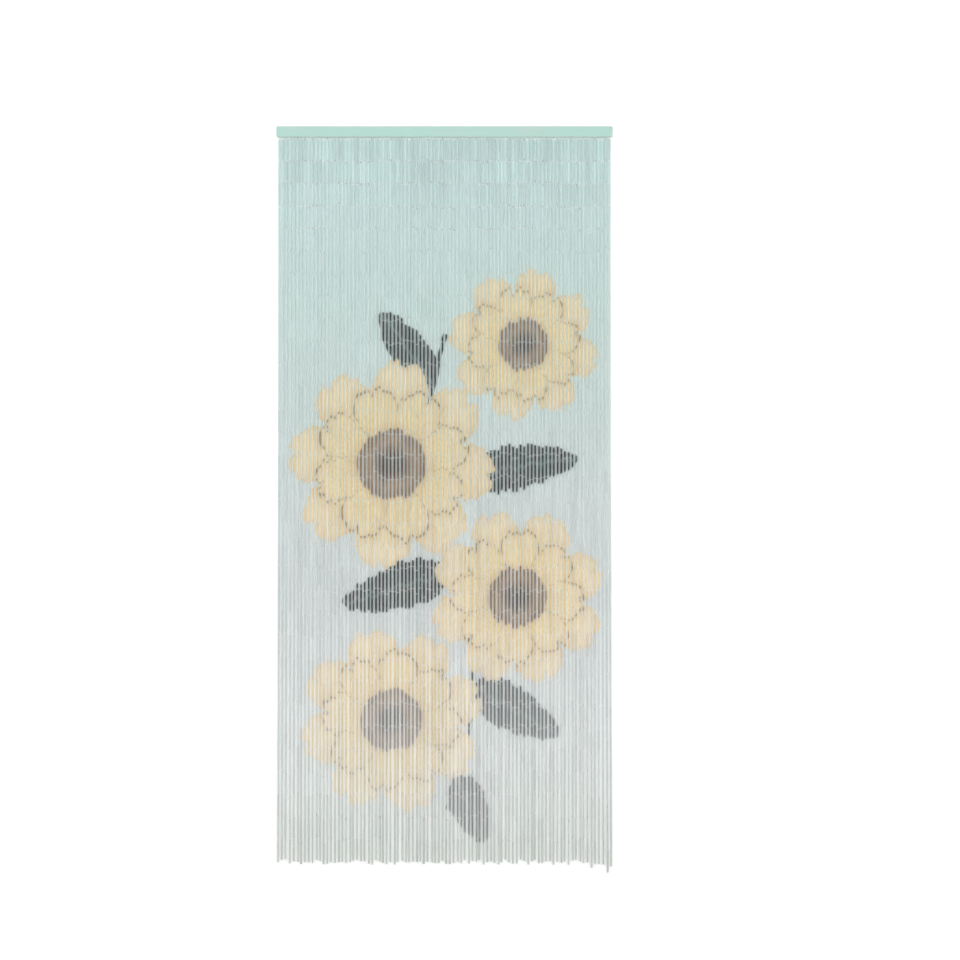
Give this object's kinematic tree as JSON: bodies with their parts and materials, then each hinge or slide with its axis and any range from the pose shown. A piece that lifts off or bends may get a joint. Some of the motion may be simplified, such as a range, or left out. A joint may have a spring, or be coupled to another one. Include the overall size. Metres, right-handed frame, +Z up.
{
  "type": "bamboo door curtain",
  "caption": "Doorway curtain of painted bamboo tubes strung on wire loops, hanging as strands from a flat painted wooden head batten.",
  "frame": {"origin": "centre of the flat back face of the head batten, which lies against the wall or door frame", "axes": "+X to the right across the curtain as seen from the front, -Y out of the front, +Y into the wall, +Z up"},
  "size_m": [0.9, 0.012, 2],
  "materials": {
    "batten_paint": "matt mint paint on wood",
    "bamboo_paint": "bamboo tubes with a satin paint that shades from mint at the top to grey-white at the foot, with a painted flower design",
    "loop_wire": "thin dull steel wire"
  },
  "bodies": {
    "root": {"head_batten": "batten_paint", "tube_strands": "bamboo_paint"}
  },
  "joints": []
}
